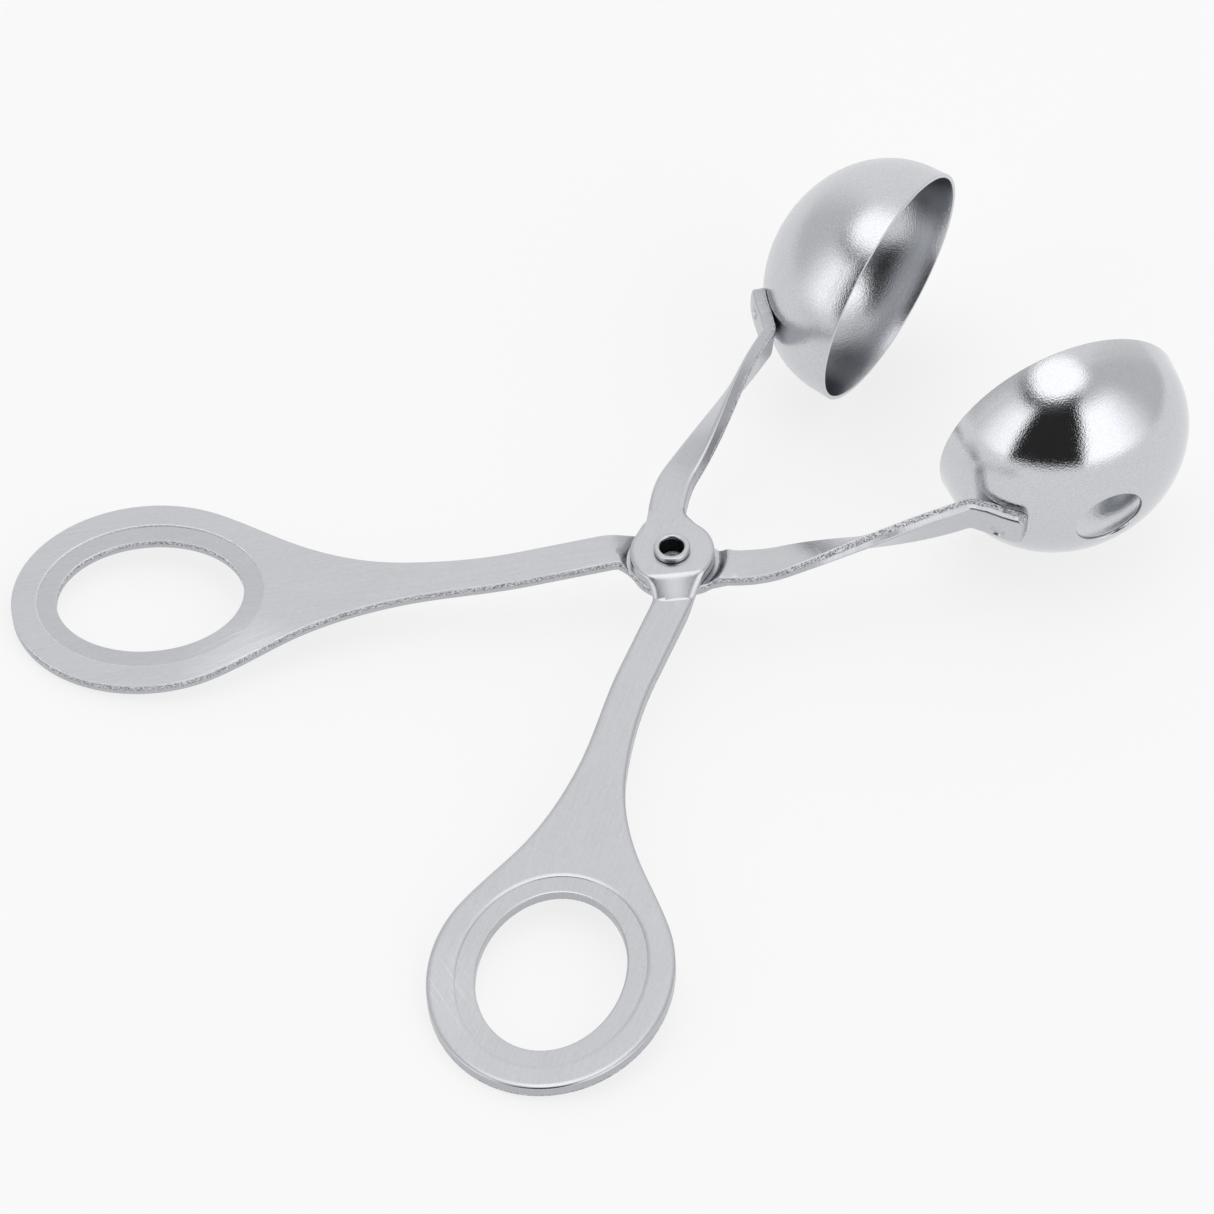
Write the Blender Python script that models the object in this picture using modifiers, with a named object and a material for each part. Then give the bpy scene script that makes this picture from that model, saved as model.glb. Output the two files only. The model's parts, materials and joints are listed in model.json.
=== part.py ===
"""Meatball tongs of stainless steel.

Two equal pressed arms cross at a hollow rivet. Each has a finger ring at one end and a thin
half-ball cup spot-welded to a bent tab at the other. The lower arm is the upper one turned over.
Everything is modelled around the rivet, whose axis is Z, with the cups towards +X, and the whole
is then tilted as it lies on a table, on its rings and a cup.
"""

import math

import bmesh
import bpy
from mathutils import Matrix, Vector
from mathutils.geometry import interpolate_bezier

mm = 0.001
degree = math.pi / 180

# Sheet and gaps
sheet = 2.2 * mm
running_gap = 0.2 * mm
pin_gap = 0.05 * mm
weld_gap = 0.3 * mm
cut_overrun = 1.0 * mm

# Opening, between the planes of the two cup rims
opening = 34.9 * degree

# Cups
cup_radius = 21.0 * mm
cup_wall = 0.7 * mm
cup_skirt = 2.4 * mm
cup_dome = 18.3 * mm
vent_radius = 5.9 * mm
cup_reach = 68.5 * mm
cup_steps = 56
dome_steps = 12

# Boss round the rivet, raised over the handle and over the neck
boss_radius = 6.85 * mm
handle_joggle = 2.0 * mm
neck_joggle = 1.35 * mm
handle_ramp_heading = 217.0 * degree
handle_ramp_start = 4.7 * mm
handle_ramp_end = 9.0 * mm
handle_ramp_lap = 8.6 * mm
handle_ramp_tail = 3.8 * mm
neck_ramp_heading = 39.0 * degree
neck_ramp_start = 6.0 * mm
neck_ramp_end = 10.3 * mm
neck_ramp_lap = 9.2 * mm
neck_ramp_tail = 0 * mm
ramp_crest = 0.2
ramp_clearance = 0.6 * mm
ramp_step = 0.6 * mm
lap_step = 0.35 * mm
tail_step = 0.75 * mm
ramp_sector = 10.0 * degree
sectors_aside = 6

# Finger ring
ring_reach = 79.8 * mm
ring_spread = 27.7 * mm
ring_turn = 21.3 * degree
finger_hole_length = 30.4 * mm
finger_hole_width = 23.2 * mm
ring_length = 44.4 * mm
ring_width = 38.2 * mm
ring_shift = 0.3 * mm
coin_margin = 3.1 * mm
coin_depth = 0.22 * mm
coin_slope = 0.1 * mm
ring_steps = 56

# Shank, between ring and boss: it leaves the ring's oval at a shoulder and tapers in a flare
shank_width = 6.1 * mm
shank_offset = 6.25 * mm
shank_root = 10.5 * mm
shank_heading = 10.8 * degree
shank_straight = 24.0 * mm
shank_fillet = 3.6 * mm
shank_meet = -104.0 * degree
shoulder_angle = 60.0 * degree
shoulder_reach = 21.0 * mm
shoulder_width = 21.2 * mm
shoulder_taper = 31.0 * degree
flare_reach = 40.0 * mm
flare_width = 7.8 * mm
flare_taper = 8.0 * degree
flare_drift = 0.2 * mm
flare_heading = -3.5 * degree
edge_steps = 6

# Neck, between boss and cup, twisted about a line beside its middle
neck_width = 5.9 * mm
neck_offset = 8.05 * mm
neck_heading = 2.0 * degree
neck_twist = 81.6 * degree
twist_start = 7.0 * mm
twist_offset = 1.57 * mm
neck_slant = 0.65 * mm
slant_length = 11.0 * mm
neck_step = 1.25 * mm
root_length = 17.0 * mm
root_outer_heading = 26.0 * degree
root_inner_heading = 20.0 * degree
root_inner_angle = -6.0 * degree
root_outer_share = (0.425, -0.21)
root_inner_share = (1.52, -0.665)

# Tab, bent outwards and welded to the cup
tab_bend = 45.0 * degree
bend_radius = 2.6 * mm
bend_steps = 5
tab_length = 9.2 * mm
tab_corner = 1.4 * mm
corner_steps = 4

# Rivet
rivet_radius = 2.5 * mm
bore_radius = 1.98 * mm
bore_depth = 3.8 * mm
rolled_radius = 2.95 * mm
rolled_height = 0.8 * mm
roll_squareness = 0.55
head_radius = 4.0 * mm
head_height = 1.3 * mm
head_edge = 0.4 * mm
rivet_steps = 40
roll_steps = 8

boss_level = (sheet + running_gap) / 2
flat_tolerance = 0.001 * mm
flat_angle = 0.25 * degree
crease_angle = 30.0 * degree


for old in list(bpy.data.objects):
    bpy.data.objects.remove(old, do_unlink=True)

tongs = bpy.data.collections.new("meatball_tongs")
cutters = bpy.data.collections.new("cutters")
bpy.context.scene.collection.children.link(tongs)
bpy.context.scene.collection.children.link(cutters)


def steel(name, colour, roughness):
    """A stainless steel finish."""
    material = bpy.data.materials.new(name)
    material.use_nodes = True
    shader = material.node_tree.nodes["Principled BSDF"]
    shader.inputs["Base Color"].default_value = (*colour, 1)
    shader.inputs["Metallic"].default_value = 1
    shader.inputs["Roughness"].default_value = roughness
    return material


def heading_of(angle):
    """The direction in the plane at an angle from +X."""
    return Vector((math.cos(angle), math.sin(angle), 0))


def left_of(direction):
    return Vector((-direction.y, direction.x, 0))


def smooth(share):
    """A soft step from 0 to 1."""
    share = min(max(share, 0), 1)
    return share * share * (3 - 2 * share)


def arc(centre, radius, start, end, steps):
    """Points on a circle from one angle to another, with both ends."""
    return [centre + radius * heading_of(start + (end - start) * n / steps) for n in range(steps + 1)]


def sweep(stops, steps):
    """A smooth line through stops, each a point and a heading, without its two ends."""
    line = []
    for (start, out), (end, into) in zip(stops, stops[1:]):
        pull = (end - start).length / 3
        first, last = start + pull * heading_of(out), end - pull * heading_of(into)
        line += [point.copy() for point in interpolate_bezier(start, first, last, end, steps + 1)][1:]
    return line[:-1]


# The places that the outline is drawn from
ring_centre = Vector((-ring_reach, -ring_spread, 0))
ring_along, ring_across = heading_of(ring_turn), left_of(heading_of(ring_turn))
shank_along, shank_across = heading_of(shank_heading), left_of(heading_of(shank_heading))
neck_along, neck_across = heading_of(neck_heading), left_of(heading_of(neck_heading))
neck_foot = neck_offset * neck_across


def ring_point(along, across):
    return ring_centre + along * ring_along + across * ring_across


def shank_point(along, across):
    """A point beside the boss, from the rivet along the shank and across it."""
    return along * shank_along + across * shank_across


def neck_point(along, across):
    return neck_foot + along * neck_along + across * neck_across


def ellipse(length, width, shift, start, end, steps):
    """Points on an oval round the finger hole, with both ends."""
    turns = [start + (end - start) * n / steps for n in range(steps + 1)]
    return [ring_point(length / 2 * math.cos(turn) - shift, width / 2 * math.sin(turn)) for turn in turns]


def dome_centre():
    """The centre of the cup's round part, and the direction of its pole."""
    pole = Vector((0, math.sin(neck_twist), math.cos(neck_twist)))
    return Vector((cup_reach, 0, 0)) + cup_skirt * pole, pole


def neck_frame(turn):
    """The strip's across and up directions, and its middle's shift, where it has twisted by an angle."""
    up = Vector((0, 0, 1))
    across = neck_across * math.cos(turn) - up * math.sin(turn)
    return across, up * math.cos(turn) + neck_across * math.sin(turn), twist_offset * (neck_across - across)


def bend_place():
    """How far along the neck its line meets the tab's, with the tab touching the cup."""
    across, up, shift = neck_frame(neck_twist)
    foot = neck_foot + shift + Vector((0, 0, boss_level - neck_joggle - neck_slant))
    outwards = up * math.cos(tab_bend) - neck_along * math.sin(tab_bend)
    centre, pole = dome_centre()
    tilt = outwards.dot(pole)
    reach = math.sqrt(cup_radius ** 2 * (1 - tilt ** 2) + cup_dome ** 2 * tilt ** 2)
    distance = reach + weld_gap + sheet / 2
    return (distance - outwards.dot(foot - centre)) / outwards.dot(neck_along)


corner_place = bend_place()
bend_start = corner_place - bend_radius * math.tan(tab_bend / 2)
bend_length = bend_radius * tab_bend
neck_end = bend_start + bend_length + tab_length - bend_radius * math.tan(tab_bend / 2)


def outline():
    """The flat blank's edge, counterclockwise from where the ring's inner side leaves its oval."""
    neck_half = neck_width / 2
    inner, outer = -shank_offset, shank_width - shank_offset
    leave = ellipse(ring_length, ring_width, ring_shift, -shoulder_angle, shoulder_angle, 1)
    slope = math.atan2(ring_width * math.cos(shoulder_angle), ring_length * math.sin(shoulder_angle))
    flare_middle = ring_turn + flare_heading

    # The inner edge: shoulder, flare, shank and boss
    points = [leave[0]]
    points += sweep([
        (leave[0], ring_turn + slope),
        (ring_point(shoulder_reach, -shoulder_width / 2), ring_turn + shoulder_taper),
        (ring_point(flare_reach, -flare_drift - flare_width / 2), flare_middle + flare_taper),
        (shank_point(-shank_straight, inner), shank_heading),
    ], edge_steps)
    points.append(shank_point(-shank_straight, inner))
    root_angle = shank_heading + shank_meet
    points += sweep([
        (shank_point(-shank_root, inner), shank_heading),
        (boss_radius * heading_of(root_angle), root_angle + math.pi / 2),
    ], edge_steps)
    points += arc(Vector(), boss_radius, root_angle, root_inner_angle, 2 * edge_steps)

    # The neck's inner edge, the tab's end with its two round corners, and the outer edge back
    inner_root = neck_point(*(share * boss_radius for share in root_inner_share))
    points += sweep([
        (points[-1], root_inner_angle + math.pi / 2),
        (inner_root, neck_heading + root_inner_heading),
        (neck_point(root_length, -neck_half), neck_heading),
    ], edge_steps)
    points.append(neck_point(root_length, -neck_half))
    corner = neck_point(neck_end - tab_corner, tab_corner - neck_half)
    points += arc(corner, tab_corner, neck_heading - math.pi / 2, neck_heading, corner_steps)
    corner = neck_point(neck_end - tab_corner, neck_half - tab_corner)
    points += arc(corner, tab_corner, neck_heading, neck_heading + math.pi / 2, corner_steps)
    outer_root = neck_point(*(share * boss_radius for share in root_outer_share))
    points.append(neck_point(root_length, neck_half))
    points += sweep([
        (points[-1], neck_heading + math.pi),
        (outer_root, neck_heading + root_outer_heading + math.pi),
    ], edge_steps)

    # Round the boss to the fillet where the shank leaves it
    drop = shank_fillet + outer
    centre = shank_point(-math.sqrt((boss_radius + shank_fillet) ** 2 - drop ** 2), drop)
    meet = math.atan2(centre.y, centre.x)
    start = math.atan2(outer_root.y, outer_root.x) + shank_fillet / boss_radius
    points += arc(Vector(), boss_radius, start, meet % math.tau, 2 * edge_steps)
    facing = math.atan2(-centre.y, -centre.x)
    points += arc(centre, shank_fillet, facing, shank_heading - math.pi / 2, corner_steps)[1:]

    # The shank's other edge, its flare and the ring's oval
    points.append(shank_point(-shank_straight, outer))
    points += sweep([
        (points[-1], shank_heading + math.pi),
        (ring_point(flare_reach, flare_width / 2 - flare_drift), flare_middle - flare_taper + math.pi),
        (ring_point(shoulder_reach, shoulder_width / 2), ring_turn - shoulder_taper + math.pi),
        (leave[1], ring_turn - slope + math.pi),
    ], edge_steps)
    points += ellipse(
        ring_length, ring_width, ring_shift, shoulder_angle, math.tau - shoulder_angle, ring_steps)[:-1]
    return points


def flat_blank():
    """The arm as a flat sheet with its finger hole and pivot hole."""
    curve = bpy.data.curves.new("blank", "CURVE")
    curve.dimensions = "2D"
    curve.fill_mode = "BOTH"
    curve.extrude = sheet / 2
    finger_hole = ellipse(finger_hole_length, finger_hole_width, 0, 0, math.tau, ring_steps)[:-1]
    pivot_hole = arc(Vector(), rivet_radius + pin_gap, 0, math.tau, rivet_steps)[:-1]
    for line in (outline(), finger_hole, pivot_hole):
        spline = curve.splines.new("POLY")
        spline.points.add(len(line) - 1)
        for place, point in zip(spline.points, line):
            place.co = (*point, 1)
        spline.use_cyclic_u = True
    flat = bpy.data.objects.new("blank", curve)
    cutters.objects.link(flat)
    bpy.context.view_layer.update()
    mesh = bpy.data.meshes.new_from_object(flat.evaluated_get(bpy.context.evaluated_depsgraph_get()))
    bpy.data.objects.remove(flat)
    return mesh


def cut(sheet_mesh, point, normal, wanted=None):
    """Scores the blank along a plane, all over or only on the faces that are wanted."""
    faces = [face for face in sheet_mesh.faces if wanted is None or wanted(face.calc_center_median())]
    near = {edge for face in faces for edge in face.edges}
    corners = {corner for face in faces for corner in face.verts}
    bmesh.ops.bisect_plane(
        sheet_mesh, geom=[*corners, *near, *faces], dist=flat_tolerance, plane_co=point, plane_no=normal)


def steps_between(start, end, step):
    count = max(1, round((end - start) / step))
    return [start + (end - start) * n / count for n in range(count + 1)]


handle_ramp = (handle_ramp_heading, handle_ramp_start, handle_ramp_end, handle_ramp_lap, handle_ramp_tail)
neck_ramp = (neck_ramp_heading, neck_ramp_start, neck_ramp_end, neck_ramp_lap, neck_ramp_tail)


def ramp_drop(point, heading, start, end, lap, tail):
    """How far down a ramp a point lies, from 0 on the boss to 1 past the ramp.

    The face that lies on the other boss drops between that boss's edge and the lap, both round the rivet. A
    ramp with a tail drops steeply at first, and ends later towards the shank's inner side. The other face
    is rounded over a straight crest, then slopes evenly down to a sharp round foot.
    """
    along, across = point.dot(heading_of(heading)), point.dot(left_of(heading_of(heading)))
    if along <= 0:
        return 0
    if point.z < 0:
        edge = boss_radius + ramp_clearance
        reach = lap + tail * smooth(-point.dot(shank_across) / shank_offset)
        share = min(max((point.xy.length - edge) / (reach - edge), 0), 1)
        return 1 - (1 - share) ** 2 if tail else smooth(share)
    foot = math.sqrt(max(end ** 2 - across ** 2, start ** 2))
    if along >= foot:
        return 1
    share = max(along - start, 0) / (foot - start)
    if share < ramp_crest:
        return share ** 2 / (ramp_crest * (2 - ramp_crest))
    return (2 * share - ramp_crest) / (2 - ramp_crest)


def pressed(point):
    """Where a point of the flat blank is after pressing, twisting and bending."""
    handle = ramp_drop(point, *handle_ramp)
    neck = ramp_drop(point, *neck_ramp)
    away = Vector((point.x, point.y, 0)) - neck_foot
    along, across = away.dot(neck_along), away.dot(neck_across)
    sink = handle * handle_joggle + neck * neck_joggle
    sink += neck_slant * smooth((along - twist_start) / slant_length)
    level = Vector((0, 0, boss_level - sink))
    if point.x < 0 or along < twist_start:
        return point + level
    side, up, shift = neck_frame(neck_twist * smooth((along - twist_start) / (bend_start - twist_start)))
    line = neck_foot + min(along, bend_start) * neck_along + shift + level
    if along > bend_start:
        turn = min((along - bend_start) / bend_radius, tab_bend)
        line += bend_radius * (math.sin(turn) * neck_along + (1 - math.cos(turn)) * up)
        onward = neck_along * math.cos(turn) + up * math.sin(turn)
        up = up * math.cos(turn) - neck_along * math.sin(turn)
        line += max(along - bend_start - bend_length, 0) * onward
    return line + across * side + point.z * up


def score_ramp(work, heading, start, end, lap, tail):
    """Scores the flat blank where a ramp will bend it, on each face along that face's own lines."""
    ahead = heading_of(heading)
    far = max(end, lap + tail)
    for place in sorted({start, end, far}):
        cut(work, place * ahead, ahead, lambda centre: centre.dot(ahead) > 0)

    def on_ramp(centre, side, way=None):
        """Whether a face's middle is on the ramp, on a side of the sheet, and in the sector round a way."""
        if not start < centre.dot(ahead) < far or (centre.z > -sheet / 4) != side:
            return False
        return way is None or abs(centre.dot(left_of(way))) < centre.dot(way) * math.tan(ramp_sector / 2)

    lap_radii = steps_between(boss_radius + ramp_clearance, lap, lap_step)
    if tail:
        lap_radii += steps_between(lap, lap + tail, tail_step)[1:]
    for n in range(-sectors_aside, sectors_aside + 1):
        normal = left_of(heading_of(heading + n * ramp_sector))
        cut(work, Vector(), normal, lambda centre: start < centre.dot(ahead) < far)
    for n in range(-sectors_aside, sectors_aside):
        way = heading_of(heading + (n + 0.5) * ramp_sector)
        chord = math.cos(ramp_sector / 2) * way
        cut(work, end * chord, way, lambda centre: on_ramp(centre, True, way))
        for radius in lap_radii:
            cut(work, radius * chord, way, lambda centre: on_ramp(centre, False, way))
    for place in steps_between(start, end, ramp_step)[1:-1]:
        cut(work, place * ahead, ahead, lambda centre: on_ramp(centre, True))


def press_arm():
    """The arm's mesh: the blank, scored where it will bend, and pressed to shape."""
    mesh = flat_blank()
    work = bmesh.new()
    work.from_mesh(mesh)
    bmesh.ops.remove_doubles(work, verts=work.verts, dist=flat_tolerance)
    bmesh.ops.dissolve_limit(work, angle_limit=flat_angle, verts=work.verts, edges=work.edges)
    for ramp in (handle_ramp, neck_ramp):
        score_ramp(work, *ramp)
    stations = steps_between(twist_start, bend_start, neck_step)
    stations += steps_between(bend_start, bend_start + bend_length, bend_length / bend_steps)[1:]
    for place in stations:
        cut(work, neck_point(place, 0), neck_along, lambda centre: centre.x > 0)
    bmesh.ops.triangulate(work, faces=work.faces)
    for corner in work.verts:
        corner.co = pressed(corner.co)
    bmesh.ops.recalc_face_normals(work, faces=work.faces)
    work.to_mesh(mesh)
    work.free()
    mesh.name = "arm"
    return mesh


def coin_cutter(side):
    """The punch that coins the step round the finger hole, on one face of the ring."""
    level = boss_level - handle_joggle
    floor = sheet / 2 - coin_depth
    work = bmesh.new()
    bmesh.ops.create_cone(work, cap_ends=True, segments=ring_steps, radius1=1, radius2=1, depth=1)
    height = coin_depth + cut_overrun
    for corner in work.verts:
        raised = corner.co.z > 0
        margin = coin_margin + (coin_slope * height / coin_depth if raised else 0)
        shape = Vector((
            corner.co.x * (finger_hole_length / 2 + margin),
            corner.co.y * (finger_hole_width / 2 + margin), 0))
        place = ring_point(shape.x, shape.y)
        corner.co = (place.x, place.y, level + side * (floor + (height if raised else 0)))
    bmesh.ops.recalc_face_normals(work, faces=work.faces)
    mesh = bpy.data.meshes.new("coin_cutter")
    work.to_mesh(mesh)
    work.free()
    punch = bpy.data.objects.new("coin_cutter", mesh)
    punch.display_type = "WIRE"
    punch.hide_render = True
    cutters.objects.link(punch)
    return punch


def coined(mesh):
    """The pressed arm with the coined step cut into both faces of its ring."""
    arm = bpy.data.objects.new("arm", mesh)
    cutters.objects.link(arm)
    for side in (1, -1):
        cutting = arm.modifiers.new("coined_step", "BOOLEAN")
        cutting.operation = "DIFFERENCE"
        cutting.solver = "EXACT"
        cutting.object = coin_cutter(side)
    bpy.context.view_layer.update()
    result = bpy.data.meshes.new_from_object(arm.evaluated_get(bpy.context.evaluated_depsgraph_get()))
    bpy.data.objects.remove(arm)
    result.name = "arm"
    result.shade_smooth()
    result.set_sharp_from_angle(angle=crease_angle)
    return result


def turned(name, profile, steps):
    """A mesh turned round Z from a profile that runs down its outer side."""
    work = bmesh.new()
    corners = [work.verts.new((radius, 0, height)) for radius, height in profile]
    for first, second in zip(corners, corners[1:]):
        work.edges.new((first, second))
    mesh = bpy.data.meshes.new(name)
    work.to_mesh(mesh)
    work.free()
    piece = bpy.data.objects.new(name, mesh)
    screw = piece.modifiers.new("turned", "SCREW")
    screw.steps = steps
    screw.render_steps = steps
    screw.use_merge_vertices = True
    screw.merge_threshold = flat_tolerance
    screw.use_smooth_shade = True
    return piece


def cup_piece(name):
    """A drawn cup: its rim at Z = 0, its pole with the vent hole up."""
    last = math.acos(vent_radius / cup_radius)
    profile = []
    for n in range(dome_steps + 1):
        turn = last * (1 - n / dome_steps)
        profile.append((cup_radius * math.cos(turn), cup_skirt + cup_dome * math.sin(turn)))
    profile.append((cup_radius, 0))
    cup = turned(name, profile, cup_steps)
    wall = cup.modifiers.new("wall", "SOLIDIFY")
    wall.thickness = cup_wall
    wall.offset = -1
    wall.use_even_offset = True
    return cup


def rivet_piece():
    """The rivet: a rolled hollow end on top, a shallow bore, and a low domed head underneath."""
    seat = boss_level + sheet / 2 + running_gap
    roll_middle = (rolled_radius + bore_radius) / 2
    roll_half = (rolled_radius - bore_radius) / 2
    roll_edge = seat + rolled_height / 3
    rise = seat + rolled_height - roll_edge
    floor = seat + rolled_height - bore_depth
    profile = [(0, floor - roll_half), (bore_radius, floor)]
    for n in range(roll_steps + 1):
        turn = math.pi * (1 - n / roll_steps)
        aside = math.copysign(abs(math.cos(turn)) ** roll_squareness, math.cos(turn))
        profile.append((
            roll_middle + roll_half * aside,
            roll_edge + rise * abs(math.sin(turn)) ** roll_squareness))
    profile += [(rolled_radius, seat), (rivet_radius, seat), (rivet_radius, -seat), (head_radius, -seat)]
    for n in range(roll_steps + 1):
        turn = math.pi / 2 * n / roll_steps
        profile.append((
            head_radius * math.cos(turn), -seat - head_edge - (head_height - head_edge) * math.sin(turn)))
    profile[-1] = (0, -seat - head_height)
    return turned("pivot_rivet", profile, rivet_steps)


# Empties: the tongs as they lie on the table, and the two halves that turn about the rivet
def empty(name, parent=None):
    frame = bpy.data.objects.new(name, None)
    tongs.objects.link(frame)
    frame.parent = parent
    return frame


whole = empty("tongs_at_rest")
upper_half = empty("upper_half", whole)
lower_half = empty("lower_half", whole)
upper_half.rotation_euler = (0, 0, opening / 2)
lower_half.matrix_local = Matrix.Rotation(-opening / 2, 4, "Z") @ Matrix.Rotation(math.pi, 4, "X")

brushed = steel("brushed_arm_steel", (0.58, 0.58, 0.59), 0.32)
polished = steel("polished_cup_steel", (0.62, 0.62, 0.63), 0.16)
rolled = steel("bright_rivet_steel", (0.56, 0.56, 0.57), 0.22)


def add(piece, parent, material):
    tongs.objects.link(piece)
    piece.parent = parent
    piece.data.materials.clear()
    piece.data.materials.append(material)
    return piece


arm_mesh = coined(press_arm())
for half, parent in (("upper", upper_half), ("lower", lower_half)):
    add(bpy.data.objects.new(f"{half}_arm", arm_mesh), parent, brushed)
    cup = add(cup_piece(f"{half}_cup"), parent, polished)
    cup.location = (cup_reach, 0, 0)
    cup.rotation_euler = (-neck_twist, 0, 0)
rivet = add(rivet_piece(), whole, rolled)

# How the tongs lie: rolled until both rings touch the table, and tilted until a cup does too
ring_level = boss_level - handle_joggle
ring_swing = math.hypot(ring_reach, ring_spread)
ring_angle = math.atan2(ring_spread, ring_reach) + opening / 2
ring_y, ring_x = ring_swing * math.sin(ring_angle), ring_swing * math.cos(ring_angle) + ring_length / 2
roll = math.asin(ring_level / ring_y)
cup_x, cup_y = cup_reach * math.cos(opening / 2), cup_reach * math.sin(opening / 2)
cup_height = cup_y * math.sin(roll) + sheet / 2
span = math.hypot(cup_x + ring_x, cup_height)
tilt = math.asin(cup_radius / span) - math.atan2(cup_height, cup_x + ring_x)
whole.matrix_world = Matrix.Rotation(-tilt, 4, "Y") @ Matrix.Rotation(roll, 4, "X")

# The origin is under the middle of the tongs' box
bpy.context.view_layer.update()
graph = bpy.context.evaluated_depsgraph_get()
places = []
for piece in tongs.objects:
    if piece.type == "MESH":
        shape = piece.evaluated_get(graph)
        places += [shape.matrix_world @ corner.co for corner in shape.data.vertices]
low = Vector(min(place[axis] for place in places) for axis in range(3))
high = Vector(max(place[axis] for place in places) for axis in range(3))
whole.location = (-(low.x + high.x) / 2, -(low.y + high.y) / 2, -low.z)
bpy.context.view_layer.update()
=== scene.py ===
"""Meatball tongs of stainless steel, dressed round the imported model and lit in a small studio."""

import json
import math

import bmesh
import bpy
from mathutils import Matrix, Vector
from mathutils.geometry import interpolate_bezier


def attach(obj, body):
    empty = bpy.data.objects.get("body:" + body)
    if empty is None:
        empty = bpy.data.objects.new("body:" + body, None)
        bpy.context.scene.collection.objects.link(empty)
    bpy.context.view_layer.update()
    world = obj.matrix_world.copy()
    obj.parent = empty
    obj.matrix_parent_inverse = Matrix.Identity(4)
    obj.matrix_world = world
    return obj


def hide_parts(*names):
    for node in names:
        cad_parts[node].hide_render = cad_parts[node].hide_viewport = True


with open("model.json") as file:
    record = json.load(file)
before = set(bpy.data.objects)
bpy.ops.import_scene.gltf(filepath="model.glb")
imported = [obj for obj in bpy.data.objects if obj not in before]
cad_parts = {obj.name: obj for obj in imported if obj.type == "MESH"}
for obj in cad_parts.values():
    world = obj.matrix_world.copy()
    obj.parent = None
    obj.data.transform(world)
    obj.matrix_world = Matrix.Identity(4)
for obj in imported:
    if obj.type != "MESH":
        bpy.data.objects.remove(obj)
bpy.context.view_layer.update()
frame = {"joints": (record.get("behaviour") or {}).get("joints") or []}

# Arms: each is one pressing of 2.2 mm stainless sheet, blanked, coined round its finger hole, joggled at
# its boss, twisted along its neck and bent at its tab. The blanking punch rolls the edge over on one face
# and tears it on the other, and the flat faces keep the fine grain of the sheet.
mm = 0.001
degree = math.pi / 180
sheet = 2.2 * mm
level = 1.2 * mm
boss_radius = 6.85 * mm
pivot_hole = 2.55 * mm
handle_joggle = 2.0 * mm
neck_joggle = 1.35 * mm
# Each ramp's heading, its start and end on the upper face, and its lap and tail on the lower one
handle_ramp = (217 * degree, 4.7 * mm, 9.0 * mm, 8.6 * mm, 3.8 * mm)
neck_ramp = (39 * degree, 6.0 * mm, 10.3 * mm, 9.2 * mm, 0)
ramp_crest = 0.2
ramp_clearance = 0.6 * mm
ramp_step = 0.35 * mm
lap_step = 0.2 * mm
tail_step = 0.65 * mm
ramp_sector = 6 * degree
sectors_aside = 10
ring_centre = Vector((-79.8, -27.7, 0)) * mm
ring_turn = 21.3 * degree
finger_hole = Vector((15.2, 11.6)) * mm
ring_oval = Vector((22.2, 19.1)) * mm
ring_shift = 0.3 * mm
coin_margin = 3.1 * mm
coin_depth = 0.22 * mm
coin_wall = 0.1 * mm
coin_lean = 0.03 * mm
# How wide the coined step's crest is on the upper face, and on the lower one
coin_crests = {1: 0.7 * mm, -1: 0.25 * mm}
coin_steps = 6
shank_width = 6.1 * mm
shank_offset = 6.25 * mm
shank_root = 10.5 * mm
shank_heading = 10.8 * degree
shank_straight = 24.0 * mm
shank_fillet = 3.6 * mm
shank_meet = -104 * degree
shoulder_angle = 60 * degree
shoulder = Vector((21.0, 10.6)) * mm
shoulder_taper = 31 * degree
flare = Vector((40.0, 3.9)) * mm
flare_taper = 8 * degree
flare_drift = 0.2 * mm
flare_heading = -3.5 * degree
neck_half = 2.95 * mm
neck_offset = 8.05 * mm
neck_heading = 2 * degree
neck_twist = 81.6 * degree
twist_start = 7.0 * mm
twist_offset = 1.57 * mm
neck_slant = 0.65 * mm
slant_length = 11.0 * mm
neck_step = 0.7 * mm
root_length = 17.0 * mm
root_outer_heading = 26 * degree
root_inner_heading = 20 * degree
root_inner_angle = -6 * degree
root_outer_share = (0.425, -0.21)
root_inner_share = (1.52, -0.665)
tab_bend = 45 * degree
bend_radius = 2.6 * mm
bend_steps = 10
tab_length = 9.2 * mm
tab_corner = 1.4 * mm
weld_gap = 0.06 * mm
hug_start = 2.0 * mm
tab_step = 0.9 * mm
mark_radii = [0.5 * mm, 0.9 * mm, 1.0 * mm, 1.12 * mm, 1.25 * mm]
mark_depth = 0.35 * mm
mark_sector = 15 * degree
edge_steps = 12
round_steps = 96
rolled_edge = 0.9 * mm
hole_edge = 0.4 * mm
roll_squash = 0.42
torn_edge = 0.17 * mm
merge_gap = 0.01 * mm
cut_gap = 0.001 * mm
straight_angle = 0.2 * degree
crease_angle = 32 * degree
# How much of a face's normal is upright where it counts as flat, as wall or as a torn corner
flat_share = 0.99
wall_share = 0.1
burr_share = 0.95
cup_reach = 68.5 * mm
cup_radius = 21.0 * mm
cup_skirt = 2.4 * mm
cup_dome = 18.3 * mm

# How the tongs lie. The rivet's axis is the hinge's, the tongs point from it towards the cups, and each
# half is turned by half the opening. The lower half is the upper one turned over.
opening = 34.9 * degree
hinge = frame["joints"][0]
rivet_axis = Vector(hinge["axis"]).normalized()
cups_way = Vector((0, 1, 0)).cross(rivet_axis).normalized()
turned = Matrix((cups_way, rivet_axis.cross(cups_way), rivet_axis)).transposed().to_4x4()
tongs = Matrix.Translation(hinge["pos_m"]) @ turned
upper = tongs @ Matrix.Rotation(opening / 2, 4, "Z")
lower = tongs @ Matrix.Rotation(-opening / 2, 4, "Z") @ Matrix.Rotation(math.pi, 4, "X")


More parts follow.
